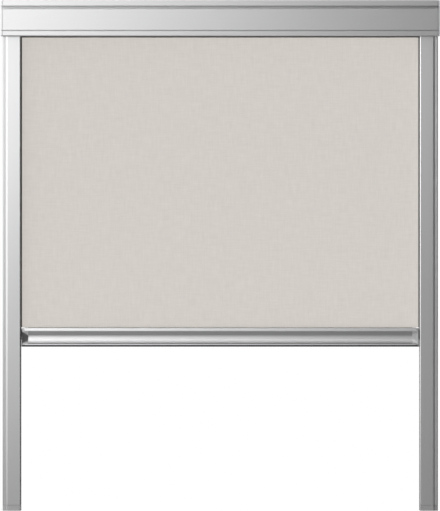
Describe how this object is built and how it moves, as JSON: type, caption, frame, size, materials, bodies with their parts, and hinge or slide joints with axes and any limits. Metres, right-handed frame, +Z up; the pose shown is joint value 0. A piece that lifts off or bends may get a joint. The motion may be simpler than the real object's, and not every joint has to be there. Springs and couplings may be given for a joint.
{
  "type": "skylight window blind",
  "caption": "Sprung blackout blind for a roof window: boxed roller, side rails and a sliding bottom bar with a finger groove.",
  "frame": {"origin": "middle of the headbox's upper rear lip, on its flat face that lies against the sash", "axes": "+X to the right seen from the room, +Y towards the window behind the blind, +Z up along the side rails"},
  "size_m": [0.61, 0.044, 0.7099],
  "materials": {
    "anodised_aluminium": "satin anodised",
    "grey_plastic": "moulded, painted silver grey",
    "white_acetal": "moulded",
    "zinc_steel": "zinc plated",
    "spring_steel": "oiled spring wire and strip",
    "pale_beige_cloth": "fine plain weave, coated behind",
    "black_pile": "short brush pile",
    "black_rubber": "matte",
    "grey_felt": "dense felt"
  },
  "bodies": {
    "frame": {"headbox_back": "anodised_aluminium", "headbox_front": "anodised_aluminium", "headbox_cap_left": "grey_plastic", "headbox_cap_right": "grey_plastic", "cap_screw_left_upper": "zinc_steel", "cap_screw_left_lower": "zinc_steel", "cap_screw_right_upper": "zinc_steel", "cap_screw_right_lower": "zinc_steel", "headbox_seal": "black_pile", "bracket_left": "zinc_steel", "bracket_right": "zinc_steel", "idle_bush": "white_acetal", "spring_shaft": "zinc_steel", "spring_hub": "zinc_steel", "roller_spring": "spring_steel", "rail_base_left": "anodised_aluminium", "rail_base_right": "anodised_aluminium", "rail_cover_left": "anodised_aluminium", "rail_cover_right": "anodised_aluminium", "rail_pile_left": "black_pile", "rail_pile_right": "black_pile", "rail_foot_left": "grey_plastic", "rail_foot_right": "grey_plastic", "cloth": "pale_beige_cloth"},
    "roller": {"roller_tube": "anodised_aluminium", "roller_idle_plug": "white_acetal", "roller_idle_pin": "zinc_steel", "roller_end_bearing": "white_acetal", "roller_spring_driver": "white_acetal", "cloth_winding": "pale_beige_cloth"},
    "bar": {"bar_profile": "anodised_aluminium", "hem_rod": "white_acetal", "bar_seal": "black_rubber", "bar_cap_left": "grey_plastic", "bar_cap_right": "grey_plastic", "guide_shoe_left": "white_acetal", "guide_shoe_right": "white_acetal", "brake_pad_left": "grey_felt", "brake_pad_right": "grey_felt", "brake_spring_left": "spring_steel", "brake_spring_right": "spring_steel"}
  },
  "joints": [
    {"name": "bar_slide", "type": "slide", "parent": "frame", "child": "bar", "axis": [0, 0, 1], "range_m": [-0.222, 0.403], "deforming": ["cloth"]},
    {"name": "roller_spin", "type": "hinge", "parent": "frame", "child": "roller", "pos_m": [0, -0.02529, -0.02199], "axis": [1, 0, 0], "range_deg": [-900, 1600]}
  ],
  "couplings": [
    {"joint": "roller_spin", "follows": "bar_slide", "rad_per_m": 68.085}
  ]
}
